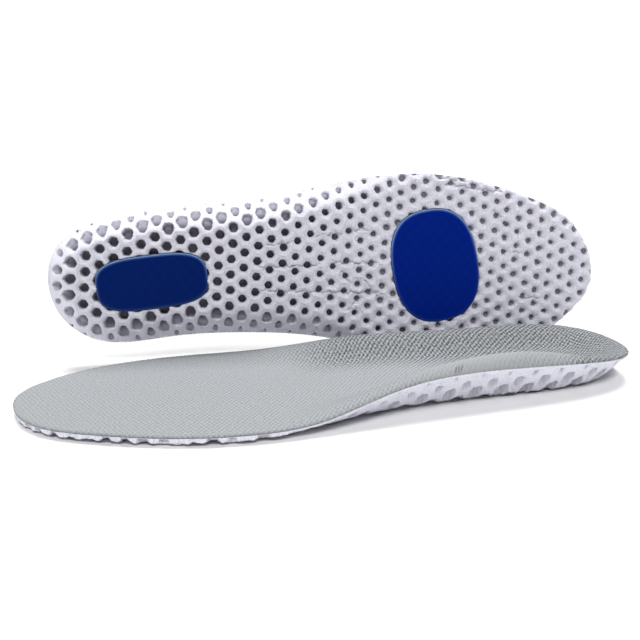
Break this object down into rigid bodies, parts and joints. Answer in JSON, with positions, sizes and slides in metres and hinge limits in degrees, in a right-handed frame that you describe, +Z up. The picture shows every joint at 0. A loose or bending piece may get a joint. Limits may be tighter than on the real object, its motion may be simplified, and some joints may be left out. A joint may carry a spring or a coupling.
{
  "type": "pair of cushioned insoles",
  "caption": "Pair of cushioned shoe insoles with perforated foam bodies, raised heel cups, knitted top covers and soft gel pads under heel and forefoot.",
  "frame": {"origin": "centre of the pair's footprint, on the surface that it stands on", "axes": "+X from the left insole's toe to its heel, +Y from the left insole to the right one behind it, +Z up"},
  "size_m": [0.2694, 0.1176, 0.0874],
  "materials": {
    "foam": "matte moulded foam",
    "cover": "fine twill knit",
    "heel_gel": "satin gel, navy",
    "forefoot_gel": "satin gel, royal blue"
  },
  "bodies": {
    "left_insole": {"left_foam_body": "foam", "left_top_cover": "cover", "left_heel_pad": "heel_gel", "left_forefoot_pad": "forefoot_gel"},
    "right_insole": {"right_foam_body": "foam", "right_top_cover": "cover", "right_heel_pad": "heel_gel", "right_forefoot_pad": "forefoot_gel"}
  },
  "joints": [
    {"name": "right_insole_lift", "type": "slide", "parent": "left_insole", "child": "right_insole", "axis": [0, 0, 1], "range_m": [0, 0.12]}
  ]
}
